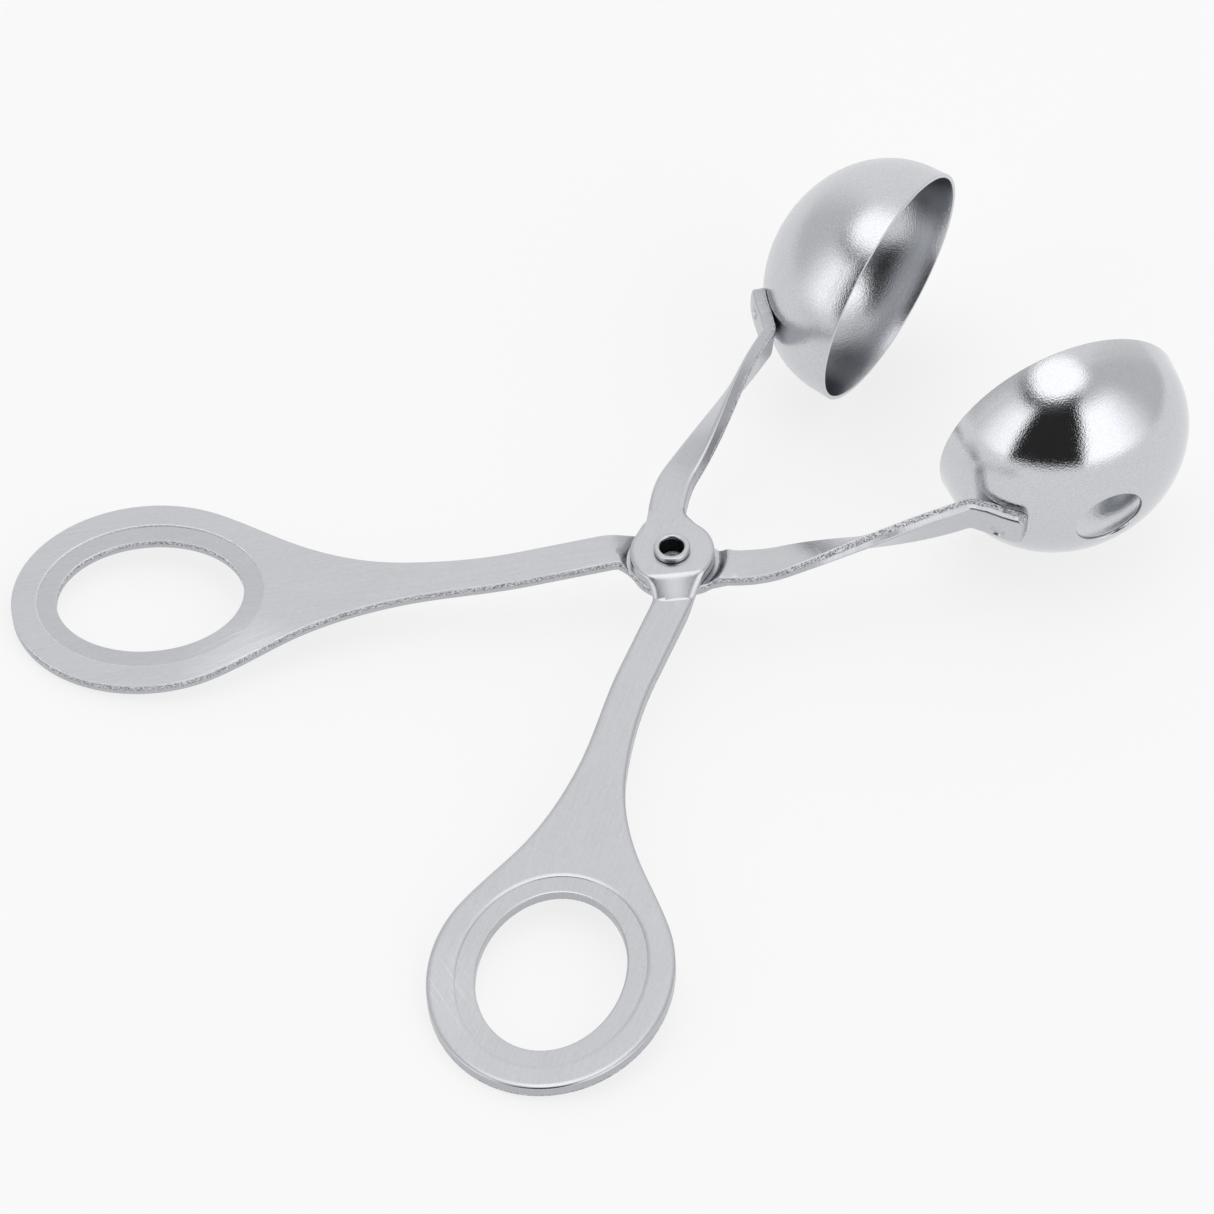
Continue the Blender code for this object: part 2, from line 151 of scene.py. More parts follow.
def only(piece):
    """Selects one piece and makes it active."""
    bpy.ops.object.select_all(action="DESELECT")
    piece.select_set(True)
    bpy.context.view_layer.objects.active = piece
    return piece


def edit(piece):
    only(piece)
    bpy.ops.object.mode_set(mode="EDIT")


def pick(piece, kind, wanted):
    """Selects the faces, edges or corners of the piece in edit mode that are wanted."""
    bpy.ops.mesh.select_mode(type={"faces": "FACE", "edges": "EDGE", "verts": "VERT"}[kind])
    bpy.ops.mesh.select_all(action="DESELECT")
    work = bmesh.from_edit_mesh(piece.data)
    work.normal_update()
    for part in getattr(work, kind):
        part.select = bool(wanted(part))
    work.select_flush_mode()
    bmesh.update_edit_mesh(piece.data)


def done(piece):
    """Leaves edit mode and applies the piece's modifiers in their order."""
    if bpy.context.mode != "OBJECT":
        bpy.ops.object.mode_set(mode="OBJECT")
    only(piece)
    for modifier in list(piece.modifiers):
        bpy.ops.object.modifier_apply(modifier=modifier.name)
    return piece


def placed(pattern, name, where):
    """A copy of a finished piece with its place in its mesh."""
    piece = bpy.data.objects.new(name, pattern.data.copy())
    piece.data.name = name
    bpy.context.scene.collection.objects.link(piece)
    piece.data.transform(where)
    return piece


def heading_of(angle):
    return Vector((math.cos(angle), math.sin(angle), 0))


def left_of(way):
    return Vector((-way.y, way.x, 0))


def smooth(share):
    share = min(max(share, 0), 1)
    return share * share * (3 - 2 * share)


def arc(centre, radius, start, end, steps):
    return [centre + radius * heading_of(start + (end - start) * n / steps) for n in range(steps + 1)]


def sweep(stops, steps):
    """A smooth line through stops, each a point and a heading, without its two ends."""
    line = []
    for (start, out), (end, into) in zip(stops, stops[1:]):
        pull = (end - start).length / 3
        first, last = start + pull * heading_of(out), end - pull * heading_of(into)
        line += [point.copy() for point in interpolate_bezier(start, first, last, end, steps + 1)][1:]
    return line[:-1]


def oval(size, shift, start, end, steps):
    turns = [start + (end - start) * n / steps for n in range(steps + 1)]
    return [ring_point(size.x * math.cos(turn) - shift, size.y * math.sin(turn)) for turn in turns]


def ring_point(along, across):
    return ring_centre + along * heading_of(ring_turn) + across * left_of(heading_of(ring_turn))


def shank_point(along, across):
    return along * heading_of(shank_heading) + across * left_of(heading_of(shank_heading))


neck_along = heading_of(neck_heading)
neck_across = left_of(neck_along)
neck_foot = neck_offset * neck_across


def neck_point(along, across):
    return neck_foot + along * neck_along + across * neck_across


def neck_frame(twist):
    """The strip's across and up directions, and its middle's shift, where it has twisted by an angle."""
    up = Vector((0, 0, 1))
    across = neck_across * math.cos(twist) - up * math.sin(twist)
    return across, up * math.cos(twist) + neck_across * math.sin(twist), twist_offset * (neck_across - across)


# The tab touches the cup but for the weld's gap, so the cup's dome says how far along the neck it bends.
# Outwards is the way from the cup square through the tab, and lean says how much of it is the pole's way.
up, shift = neck_frame(neck_twist)[1:]
outwards = up * math.cos(tab_bend) - neck_along * math.sin(tab_bend)
pole = Vector((0, math.sin(neck_twist), math.cos(neck_twist)))
lean = outwards.dot(pole)
support = math.sqrt(cup_radius ** 2 * (1 - lean ** 2) + cup_dome ** 2 * lean ** 2)
reach = support + weld_gap + sheet / 2
foot = neck_foot + shift + Vector((0, 0, level - neck_joggle - neck_slant))
dome = Vector((cup_reach, 0, 0)) + cup_skirt * pole
bend_place = (reach - outwards.dot(foot - dome)) / outwards.dot(neck_along)
bend_start = bend_place - bend_radius * math.tan(tab_bend / 2)
bend_length = bend_radius * tab_bend
tab_start = bend_start + bend_length
neck_end = tab_start + tab_length - bend_radius * math.tan(tab_bend / 2)

# Where the tab touches the cup, along the neck and across it on the flat blank
onwards = neck_along * math.cos(tab_bend) + up * math.sin(tab_bend)
touch = dome - (foot + bend_place * neck_along)
touch += (cup_radius ** 2 * (outwards - lean * pole) + cup_dome ** 2 * lean * pole) / support
weld_along = tab_start + touch.dot(onwards) - bend_radius * math.tan(tab_bend / 2)
weld_across = touch.dot(neck_frame(neck_twist)[0])


def blank_edge():
    """The flat blank's edge, counterclockwise from where the ring's inner side leaves its oval."""
    inner, outer = -shank_offset, shank_width - shank_offset
    leave = oval(ring_oval, ring_shift, -shoulder_angle, shoulder_angle, 1)
    slope = math.atan2(ring_oval.y * math.cos(shoulder_angle), ring_oval.x * math.sin(shoulder_angle))
    flare_middle = ring_turn + flare_heading
    points = [leave[0]]
    points += sweep([
        (leave[0], ring_turn + slope),
        (ring_point(shoulder.x, -shoulder.y), ring_turn + shoulder_taper),
        (ring_point(flare.x, -flare_drift - flare.y), flare_middle + flare_taper),
        (shank_point(-shank_straight, inner), shank_heading),
    ], edge_steps)
    points.append(shank_point(-shank_straight, inner))
    root_angle = shank_heading + shank_meet
    points += sweep([
        (shank_point(-shank_root, inner), shank_heading),
        (boss_radius * heading_of(root_angle), root_angle + math.pi / 2),
    ], edge_steps)
    points += arc(Vector(), boss_radius, root_angle, root_inner_angle, 2 * edge_steps)
    points += sweep([
        (points[-1], root_inner_angle + math.pi / 2),
        (neck_point(*(share * boss_radius for share in root_inner_share)), neck_heading + root_inner_heading),
        (neck_point(root_length, -neck_half), neck_heading),
    ], edge_steps)
    points.append(neck_point(root_length, -neck_half))
    corner = neck_point(neck_end - tab_corner, tab_corner - neck_half)
    points += arc(corner, tab_corner, neck_heading - math.pi / 2, neck_heading, edge_steps)
    corner = neck_point(neck_end - tab_corner, neck_half - tab_corner)
    points += arc(corner, tab_corner, neck_heading, neck_heading + math.pi / 2, edge_steps)
    outer_root = neck_point(*(share * boss_radius for share in root_outer_share))
    points.append(neck_point(root_length, neck_half))
    points += sweep([
        (points[-1], neck_heading + math.pi),
        (outer_root, neck_heading + root_outer_heading + math.pi),
    ], edge_steps)
    drop = shank_fillet + outer
    centre = shank_point(-math.sqrt((boss_radius + shank_fillet) ** 2 - drop ** 2), drop)
    meet = math.atan2(centre.y, centre.x) % math.tau
    start = math.atan2(outer_root.y, outer_root.x) + shank_fillet / boss_radius
    points += arc(Vector(), boss_radius, start, meet, 2 * edge_steps)
    facing = math.atan2(-centre.y, -centre.x)
    points += arc(centre, shank_fillet, facing, shank_heading - math.pi / 2, edge_steps)[1:]
    points.append(shank_point(-shank_straight, outer))
    points += sweep([
        (points[-1], shank_heading + math.pi),
        (ring_point(flare.x, flare.y - flare_drift), flare_middle - flare_taper + math.pi),
        (ring_point(shoulder.x, shoulder.y), ring_turn - shoulder_taper + math.pi),
        (leave[1], ring_turn - slope + math.pi),
    ], edge_steps)
    points += oval(ring_oval, ring_shift, shoulder_angle, math.tau - shoulder_angle, round_steps)[:-1]
    return points


def ramp_drop(point, heading, start, end, lap, tail):
    """How far down a ramp a point lies, from 0 on the boss to 1 past the ramp.

    The face that lies on the other boss drops between that boss's edge and the lap, both round the rivet. A
    ramp with a tail drops steeply at first, and ends later towards the shank's inner side. The other face
    is rounded over a straight crest, then slopes evenly down to a sharp round foot.
    """
    along, across = point.dot(heading_of(heading)), point.dot(left_of(heading_of(heading)))
    if along <= 0:
        return 0
    if point.z < 0:
        edge = boss_radius + ramp_clearance
        aside = -point.dot(left_of(heading_of(shank_heading))) / shank_offset
        reach = lap + tail * smooth(aside)
        share = min(max((point.xy.length - edge) / (reach - edge), 0), 1)
        return 1 - (1 - share) ** 2 if tail else smooth(share)
    foot = math.sqrt(max(end ** 2 - across ** 2, start ** 2))
    if along >= foot:
        return 1
    share = max(along - start, 0) / (foot - start)
    if share < ramp_crest:
        return share ** 2 / (ramp_crest * (2 - ramp_crest))
    return (2 * share - ramp_crest) / (2 - ramp_crest)


def pressed(point):
    """Where a point of the flat blank is after joggling, twisting and bending."""
    away = Vector((point.x, point.y, 0)) - neck_foot
    along, across = away.dot(neck_along), away.dot(neck_across)
    sink = ramp_drop(point, *handle_ramp) * handle_joggle + ramp_drop(point, *neck_ramp) * neck_joggle
    sink += neck_slant * smooth((along - twist_start) / slant_length)
    rise = Vector((0, 0, level - sink))
    if point.x < 0 or along < twist_start:
        return point + rise
    side, up, shift = neck_frame(neck_twist * smooth((along - twist_start) / (bend_start - twist_start)))
    line = neck_foot + min(along, bend_start) * neck_along + shift + rise
    if along > bend_start:
        turn = min((along - bend_start) / bend_radius, tab_bend)
        line += bend_radius * (math.sin(turn) * neck_along + (1 - math.cos(turn)) * up)
        onward = neck_along * math.cos(turn) + up * math.sin(turn)
        up = up * math.cos(turn) - neck_along * math.sin(turn)
        line += max(along - tab_start, 0) * onward
    return line + across * side + (point.z - tab_sink(along, across, point.z > 0)) * up


def tab_sink(along, across, outside):
    """How far a point of the tab lies towards the cup, whose round it follows, and under the weld's mark."""
    beyond, aside = max(along - weld_along, 0), across - weld_across
    hug = (beyond ** 2 + aside ** 2) / (2 * cup_radius) * smooth((along - tab_start) / hug_start)
    away = math.hypot(along - weld_along, aside)
    mark = 1 - smooth((away - mark_radii[1]) / (mark_radii[-1] - mark_radii[1]))
    return hug + (mark_depth * mark if outside else 0)


# The flat blank with its holes
curve = bpy.data.curves.new("blank", "CURVE")
curve.dimensions = "2D"
curve.fill_mode = "BOTH"
curve.extrude = sheet / 2
for line in (
    blank_edge(),
    oval(finger_hole, 0, 0, math.tau, round_steps)[:-1],
    arc(Vector(), pivot_hole, 0, math.tau, round_steps // 2)[:-1],
):
    spline = curve.splines.new("POLY")
    spline.points.add(len(line) - 1)
    for place, point in zip(spline.points, line):
        place.co = (*point, 1)
    spline.use_cyclic_u = True
blank = bpy.data.objects.new("blank", curve)
bpy.context.scene.collection.objects.link(blank)
only(blank)
bpy.ops.object.convert(target="MESH")
pressing = bpy.context.view_layer.objects.active
edit(pressing)
bpy.ops.mesh.select_all(action="SELECT")
bpy.ops.mesh.remove_doubles(threshold=merge_gap)
bpy.ops.mesh.dissolve_limited(angle_limit=straight_angle)
bpy.ops.mesh.normals_make_consistent(inside=False)
done(pressing)


def lathe(name, profile, turns):
    """A closed round body, drawn out of a disc step by step through radii and heights."""
    radius, height = profile[0]
    bpy.ops.mesh.primitive_circle_add(
        vertices=turns, radius=radius, location=(0, 0, height), fill_type="NGON")
    body = bpy.context.active_object
    body.name = name
    bpy.ops.object.transform_apply(location=True)
    edit(body)
    pick(body, "edges", lambda line: True)
    for (radius, height), (wider, higher) in zip(profile, profile[1:]):
        bpy.ops.mesh.extrude_edges_move(TRANSFORM_OT_translate={"value": (0, 0, higher - height)})
        bpy.ops.transform.resize(value=(wider / radius, wider / radius, 1), center_override=(0, 0, 0))
    bpy.ops.mesh.edge_face_add()
    bpy.ops.mesh.select_all(action="SELECT")
    bpy.ops.mesh.normals_make_consistent(inside=False)
    return done(body)


# The coined step round the finger hole, on both faces: a low wall under a soft crest, wider on one face
for side, crest in coin_crests.items():
    coin_profile = [(coin_margin, -coin_depth), (coin_margin + coin_lean, coin_wall - coin_depth)]
    for n in range(1, coin_steps + 1):
        share = n / coin_steps
        coin_profile.append((coin_profile[1][0] + share * crest, (coin_wall - coin_depth) * (1 - share) ** 2))
    (inside, low), (outside, high) = coin_profile[-2:]
    coin_profile[-1] = (2 * outside - inside, high - low)
    coin_profile.append((coin_profile[-1][0], sheet / 2))
    punch = lathe("coining_punch", coin_profile, round_steps)
    for corner in punch.data.vertices:
        margin, facing = corner.co.xy.length, corner.co.xy.normalized()
        place = ring_point(facing.x * (finger_hole.x + margin), facing.y * (finger_hole.y + margin))
        corner.co = (place.x, place.y, side * (sheet / 2 + corner.co.z))
    edit(punch)
    bpy.ops.mesh.select_all(action="SELECT")
    bpy.ops.mesh.normals_make_consistent(inside=False)
    done(punch)
    cutting = pressing.modifiers.new("coined", "BOOLEAN")
    cutting.operation = "DIFFERENCE"
    cutting.solver = "EXACT"
    cutting.object = punch
    done(pressing)
    bpy.data.objects.remove(punch)


# The edges: rolled over on the punch's side, wider than deep, and torn on the other
def oval_share(point, size):
    """How far out a point lies round the finger hole, as a share of an oval's size."""
    away = point - ring_centre
    way = heading_of(ring_turn)
    return math.hypot(away.dot(way) / size.x, away.dot(left_of(way)) / size.y)


def edge_of(side, deep):
    """A test for the edges on one side between the sheet's own, or the coined, face and the wall."""
    def wanted(line):
        flat = [face for face in line.link_faces if face.normal.z * side > flat_share]
        wall = [face for face in line.link_faces if abs(face.normal.z) < wall_share]
        at = line.verts[0].co
        if len(flat) != 1 or len(wall) != 1 or at.xy.length < 2 * pivot_hole:
            return False
        in_hole = oval_share(at, finger_hole + Vector((coin_margin, coin_margin)) / 2) < 1
        return in_hole == deep
    return wanted


edit(pressing)
for side, deep, width, squash, steps in (
    (1, False, rolled_edge, roll_squash, 7),
    (1, True, hole_edge, roll_squash, 4),
    (-1, False, torn_edge, 1, 3),
    (-1, True, torn_edge, 1, 3),
):
    pick(pressing, "edges", edge_of(side, deep))
    bpy.ops.mesh.bevel(offset=width, segments=steps, affect="EDGES", loop_slide=False, clamp_overlap=False)
    face_height = sheet / 2 - (coin_depth if deep else 0)
    bpy.ops.transform.resize(value=(1, 1, squash), center_override=(0, 0, side * face_height))
done(pressing)


def score(point, normal, wanted):
    """Cuts the blank's faces along a plane where it will bend."""
    pick(pressing, "faces", lambda face: wanted(face.calc_center_median()))
    bpy.ops.mesh.bisect(plane_co=point, plane_no=normal, threshold=cut_gap)


def score_round(middle, start, sector, count, radii, wanted):
    """Cuts the blank along spokes from a middle, and along round lines from spoke to spoke."""
    for n in range(count + 1):
        score(middle, left_of(heading_of(start + n * sector)), wanted)
    for n in range(count):
        way = heading_of(start + (n + 0.5) * sector)

        def in_sector(centre):
            away = centre - middle
            return wanted(centre) and abs(away.dot(left_of(way))) < away.dot(way) * math.tan(sector / 2)

        for radius in radii:
            score(middle + radius * math.cos(sector / 2) * way, way, in_sector)


def steps_between(start, end, step):
    count = max(1, round((end - start) / step))
    return [start + (end - start) * n / count for n in range(count + 1)]


def score_ramp(heading, start, end, lap, tail):
    """Cuts the blank where a ramp will bend it, on each face along that face's own lines."""
    ahead = heading_of(heading)
    far = max(end, lap + tail)
    for place in sorted({start, end, far}):
        score(place * ahead, ahead, lambda centre: centre.dot(ahead) > 0)
    lap_radii = steps_between(boss_radius + ramp_clearance, lap, lap_step)
    if tail:
        lap_radii += steps_between(lap, lap + tail, tail_step)[1:]
    first = heading - sectors_aside * ramp_sector
    for raised, radii in ((True, [end]), (False, lap_radii)):
        score_round(Vector(), first, ramp_sector, 2 * sectors_aside, radii, lambda centre: (
            start < centre.dot(ahead) < far and (centre.z > -sheet / 4) == raised))
    for place in steps_between(start, end, ramp_step)[1:-1]:
        score(place * ahead, ahead, lambda centre: start < centre.dot(ahead) < end and centre.z > -sheet / 4)


edit(pressing)
score_ramp(*handle_ramp)
score_ramp(*neck_ramp)
stations = steps_between(twist_start, bend_start, neck_step)
stations += steps_between(bend_start, bend_start + bend_length, bend_length / bend_steps)[1:]
stations += steps_between(tab_start, neck_end, tab_step)[1:-1]
for place in stations:
    score(neck_point(place, 0), neck_along, lambda centre: centre.x > 0)


def on_tab(centre):
    return (centre - neck_foot).dot(neck_along) > tab_start


for place in steps_between(-neck_half, neck_half, tab_step)[1:-1]:
    score(neck_point(0, place), neck_across, on_tab)
weld_point = neck_point(weld_along, weld_across)
score_round(weld_point, 0, mark_sector, round(math.tau / mark_sector), mark_radii, lambda centre: (
    centre.z > sheet / 4 and (centre - weld_point).xy.length < 2 * mark_radii[-1]))
bpy.ops.mesh.select_all(action="SELECT")
bpy.ops.mesh.quads_convert_to_tris()
done(pressing)

# Walls get the sheared edge's steel, and torn corners the burr's, whose colour is a painted highlight. Each
# corner of the mesh keeps its place on the flat blank, which all three finishes follow, and then goes where
# the press moves it.
for face in pressing.data.polygons:
    torn_corner = -burr_share < face.normal.z < 0
    face.material_index = 1 if abs(face.normal.z) < wall_share else 2 if torn_corner else 0
places = pressing.data.attributes.new("blank_place", "FLOAT_VECTOR", "POINT")
for corner, place in zip(pressing.data.vertices, places.data):
    place.vector = corner.co
    corner.co = pressed(corner.co)
only(pressing)
bpy.ops.object.shade_smooth_by_angle(angle=crease_angle)
weighted = pressing.modifiers.new("flat_faces_lead", "WEIGHTED_NORMAL")
weighted.keep_sharp = True
done(pressing)


def new_material(name, metallic=1):
    material = bpy.data.materials.new(name)
    material.use_nodes = True
    shader = material.node_tree.nodes["Principled BSDF"]
    shader.inputs["Metallic"].default_value = metallic
    return material, material.node_tree, shader


def feed(tree, node, inputs):
    """Sets a node's sockets to values, or joins them to other nodes' outputs."""
    for name, value in inputs.items():
        socket = node.inputs[int(name[1:])] if name[0] == "_" else node.inputs[name.replace("_", " ")]
        if isinstance(value, bpy.types.NodeSocket):
            tree.links.new(value, socket)
        else:
            socket.default_value = value
    return node


def add(tree, kind, **inputs):
    return feed(tree, tree.nodes.new(kind), inputs)


def use(tree, made, **inputs):
    """The outputs of a node group, placed in a tree with its own values."""
    node = tree.nodes.new("ShaderNodeGroup")
    node.node_tree = made
    return feed(tree, node, inputs).outputs


def maths(tree, operation, first, second=0.0, third=0.0):
    node = add(tree, "ShaderNodeMath", _0=first, _1=second, _2=third)
    node.operation = operation
    return node.outputs[0]


def scaled(tree, value, factor, offset=0.0):
    """A value times a factor, plus an offset."""
    return maths(tree, "MULTIPLY_ADD", value, factor, offset)


def mixed(tree, mask, first, second):
    """One value where a mask is 0, and another where it is 1."""
    return add(tree, "ShaderNodeMix", Factor=mask, A=first, B=second).outputs["Result"]


def ramp(tree, value, low, high, start=0.0, end=1.0):
    """A soft step of a value between two levels."""
    node = add(tree, "ShaderNodeMapRange", Value=value, From_Min=low, From_Max=high, To_Min=start, To_Max=end)
    node.interpolation_type = "SMOOTHSTEP"
    return node.outputs["Result"]


def noise(tree, place, fineness, detail=2.0, roughness=0.5, stretch=(1, 1, 1)):
    """Noise of a fineness per metre, stretched along the axes of a place."""
    mapped = add(tree, "ShaderNodeMapping", Vector=place, Scale=stretch).outputs[0]
    speckle = add(
        tree, "ShaderNodeTexNoise", Vector=mapped, Scale=fineness, Detail=detail, Roughness=roughness)
    return speckle.outputs["Fac"]


def group(name, inputs, outputs):
    tree = bpy.data.node_groups.new(name, "ShaderNodeTree")
    for kinds, way in ((inputs, "INPUT"), (outputs, "OUTPUT")):
        for label, kind in kinds:
            tree.interface.new_socket(label, in_out=way, socket_type="NodeSocket" + kind)
    return tree, tree.nodes.new("NodeGroupInput").outputs, tree.nodes.new("NodeGroupOutput").inputs


# Rolled grain: fine streaks along the sheet, a mottle between them, and broad dull and bright patches
streak_fineness = 4200
mottle_fineness = 2000
patch_fineness = 110
streak_stretch = (0.03, 1, 1)
mottle_stretch = (0.5, 1, 1)

grain, given, made = group(
    "rolled_grain",
    [("Place", "Vector"), ("Contrast", "Float")],
    [("Tone", "Float"), ("Dullness", "Float"), ("Height", "Float")],
)
streaks = noise(grain, given["Place"], streak_fineness, 3, stretch=streak_stretch)
mottle = noise(grain, given["Place"], mottle_fineness, 3, 0.6, mottle_stretch)
patches = noise(grain, given["Place"], patch_fineness)
tone = scaled(grain, streaks, 0.5, maths(grain, "MULTIPLY", mottle, 0.5))
tone = scaled(grain, maths(grain, "SUBTRACT", tone, 0.5), given["Contrast"], 0.5)
grain.links.new(tone, made["Tone"])
grain.links.new(ramp(grain, patches, 0.3, 0.7), made["Dullness"])
grain.links.new(scaled(grain, streaks, 0.6, mottle), made["Height"])

steel = (0.575, 0.585, 0.612)


def tinted(tree, tone, dark, light):
    """Steel between two shades by a tone from 0 to 1."""
    mix = tree.nodes.new("ShaderNodeMix")
    mix.data_type = "RGBA"
    dark_steel, light_steel = ((*(part * shade for part in steel), 1) for shade in (dark, light))
    return feed(tree, mix, {"Factor": tone, "A": dark_steel, "B": light_steel}).outputs["Result"]


def finish(tree, shader, colour, rough, height, relief):
    """Joins a colour, a roughness and the height of a relief to a steel's shader."""
    bump = add(tree, "ShaderNodeBump", Height=height, Distance=relief, Strength=1.0)
    for value, socket in ((colour, "Base Color"), (rough, "Roughness"), (bump.outputs[0], "Normal")):
        tree.links.new(value, shader.inputs[socket])


def blank_place(tree):
    """Where a point of an arm was on the flat blank."""
    place = add(tree, "ShaderNodeAttribute")
    place.attribute_name = "blank_place"
    return place.outputs["Vector"]


# Satin face of the sheet, duller where it is coined, with a patch that another sheet has rubbed
grain_heading = 15 * degree
satin_contrast = 1.25
satin_shades = (0.89, 1.33)
satin_relief = 0.0025 * mm
scratch_fineness = 5200
scratch_stretch = (0.015, 1, 1)
full_rub_share = 0.2


def satin_sheet(name, rubbed_at, rub_heading, rub_reach, rub, coined_dull):
    material, tree, shader = new_material(name)
    place = blank_place(tree)
    along_grain = add(tree, "ShaderNodeMapping", Vector=place, Rotation=(0, 0, -grain_heading)).outputs[0]
    look = use(tree, grain, Place=along_grain, Contrast=satin_contrast)
    away = add(tree, "ShaderNodeVectorMath", _0=place, _1=tuple(rubbed_at))
    away.operation = "DISTANCE"
    rubbed = ramp(tree, away.outputs["Value"], rub_reach, full_rub_share * rub_reach)
    along_rub = add(tree, "ShaderNodeMapping", Vector=place, Rotation=(0, 0, -rub_heading)).outputs[0]
    scratches = ramp(tree, noise(tree, along_rub, scratch_fineness, 3, 0.6, scratch_stretch), 0.5, 0.7)
    scratches = maths(tree, "MULTIPLY", scratches, rubbed)
    depth = maths(tree, "ABSOLUTE", add(tree, "ShaderNodeSeparateXYZ", Vector=place).outputs["Z"])
    coined = ramp(tree, depth, sheet / 2 - 0.3 * coin_depth, sheet / 2 - 0.7 * coin_depth)
    tone = scaled(tree, scratches, 4 * rub, look["Tone"])
    tone = scaled(tree, rubbed, rub, tone)
    tone = scaled(tree, coined, -coined_dull, tone)
    colour = tinted(tree, maths(tree, "MULTIPLY", tone, 0.5), *satin_shades)
    rough = scaled(tree, look["Dullness"], 0.07, scaled(tree, look["Tone"], 0.1, 0.2))
    rough = scaled(tree, rubbed, 0.08, rough)
    finish(tree, shader, colour, rough, scaled(tree, scratches, -2.0, look["Height"]), satin_relief)
    return material


# Sheared edge: rolled over and burnished by the punch, then torn into grains
waver_fineness = 900
torn_fineness = 3000
burnish_fineness = 6000
waver_stretch = (1, 1, 0.2)
torn_stretch = (1, 1, 1.2)
burnish_stretch = (1, 1, 0.06)
waver_share = 0.16
tear_share = 0.05


def sheared_edge(name, torn_from, dark, light, relief):
    """The edge's steel, burnished from the punch's face down to a share of the sheet and torn below it."""
    material, tree, shader = new_material(name)
    place = blank_place(tree)
    height = add(tree, "ShaderNodeSeparateXYZ", Vector=place).outputs["Z"]
    waver = noise(tree, place, waver_fineness, stretch=waver_stretch)
    depth = scaled(tree, waver, waver_share, scaled(tree, height, -1 / sheet, (1 - waver_share) / 2))
    torn = ramp(tree, depth, torn_from, torn_from + tear_share)
    grains = noise(tree, place, torn_fineness, 3, 0.65, torn_stretch)
    lines = noise(tree, place, burnish_fineness, stretch=burnish_stretch)
    tone = mixed(tree, torn, scaled(tree, lines, 0.3, 0.35), ramp(tree, grains, 0.34, 0.66))
    colour = tinted(tree, tone, dark, light)
    finish(tree, shader, colour, scaled(tree, torn, 0.2, 0.26), maths(tree, "MULTIPLY", grains, torn), relief)
    return material


# Burr: where the tear breaks through the face, and the coined step's low wall there. Their colour is a
# painted highlight, lighter than the steel, for the bright line along these edges.
burr_fineness = 1500
painted_highlight_shades = (1.1, 1.65)
burr_relief = 0.01 * mm
burr_with_painted_highlight, tree, shader = new_material("burr_painted_highlight_steel")
specks = noise(tree, blank_place(tree), burr_fineness, 3, 0.6)
finish(tree, shader, tinted(tree, specks, *painted_highlight_shades), scaled(tree, specks, 0.15, 0.5), specks, burr_relief)

# How the two arms differ. A rub has its place on the blank, heading, reach and strength, and then how much
# duller the coined band is. An edge has the share where it tears, its two shades and its grains' relief.
upper_rub = (Vector((-92 * mm, -16 * mm, sheet / 2)), 60 * degree, 14 * mm, 0.15, 0.1)
lower_rub = (Vector((-70.5 * mm, -6.5 * mm, -sheet / 2)), -4 * degree, 13 * mm, 0.5, 0.4)
upper_edge = (0.74, 0.5, 1.15, 0.05 * mm)
lower_edge = (0.5, 0.3, 1.4, 0.12 * mm)
for name, where, body, rub, edge in (
    ("upper", upper, "upper_half", upper_rub, upper_edge),
    ("lower", lower, "lower_half", lower_rub, lower_edge),
):
    arm = placed(pressing, f"{name}_pressed_arm", where)
    arm.data.materials.append(satin_sheet(f"{name}_satin_sheet", *rub))
    arm.data.materials.append(sheared_edge(f"{name}_sheared_edge", *edge))
    # the burr's steel, coloured with a painted highlight, goes to the torn corners
    arm.data.materials.append(burr_with_painted_highlight)
    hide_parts(f"{name}_arm")
    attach(arm, body)
bpy.data.objects.remove(pressing)

# Cups: each is deep-drawn from 0.7 mm sheet into a half ball with a short rim that flares slightly, and
# pierced at its pole. The outside is polished, the inside is left satin, and the rims are only deburred.
cup_wall = 0.7 * mm
vent_radius = 5.9 * mm
rim_edge = 0.15 * mm
rim_edge_angle = 40 * degree
rim_flare = 0.15 * mm
cup_turns = 144
peel_fineness = 3600
haze_fineness = 70
polish_shades = (0.85, 1.25)
inside_shades = (1.06, 1.22)
inside_relief = 0.008 * mm

bpy.ops.mesh.primitive_uv_sphere_add(segments=cup_turns, ring_count=cup_turns // 2, radius=cup_radius)
drawn = bpy.context.active_object
edit(drawn)
vent_height = math.sqrt(cup_radius ** 2 - vent_radius ** 2)
for height, outside in ((0, False), (vent_height, True)):
    bpy.ops.mesh.select_all(action="SELECT")
    bpy.ops.mesh.bisect(
        plane_co=(0, 0, height), plane_no=(0, 0, 1), clear_outer=outside, clear_inner=not outside,
        threshold=cut_gap)
bpy.ops.mesh.select_all(action="SELECT")
bpy.ops.transform.resize(value=(1, 1, cup_dome / cup_radius), center_override=(0, 0, 0))
bpy.ops.transform.translate(value=(0, 0, cup_skirt))
pick(drawn, "edges", lambda line: all(abs(corner.co.z - cup_skirt) < merge_gap for corner in line.verts))
bpy.ops.mesh.extrude_edges_move(TRANSFORM_OT_translate={"value": (0, 0, -cup_skirt)})
widened = 1 + rim_flare / cup_radius
bpy.ops.transform.resize(value=(widened, widened, 1), center_override=(0, 0, 0))
wall = drawn.modifiers.new("wall", "SOLIDIFY")
wall.thickness = cup_wall
wall.offset = -1
wall.use_even_offset = True
wall.material_offset = 1
deburred = drawn.modifiers.new("deburred", "BEVEL")
deburred.width = rim_edge
deburred.segments = 3
deburred.limit_method = "ANGLE"
deburred.angle_limit = rim_edge_angle
done(drawn)
bpy.ops.object.shade_smooth_by_angle(angle=crease_angle)


def piece_place(tree):
    return add(tree, "ShaderNodeTexCoord").outputs["Object"]


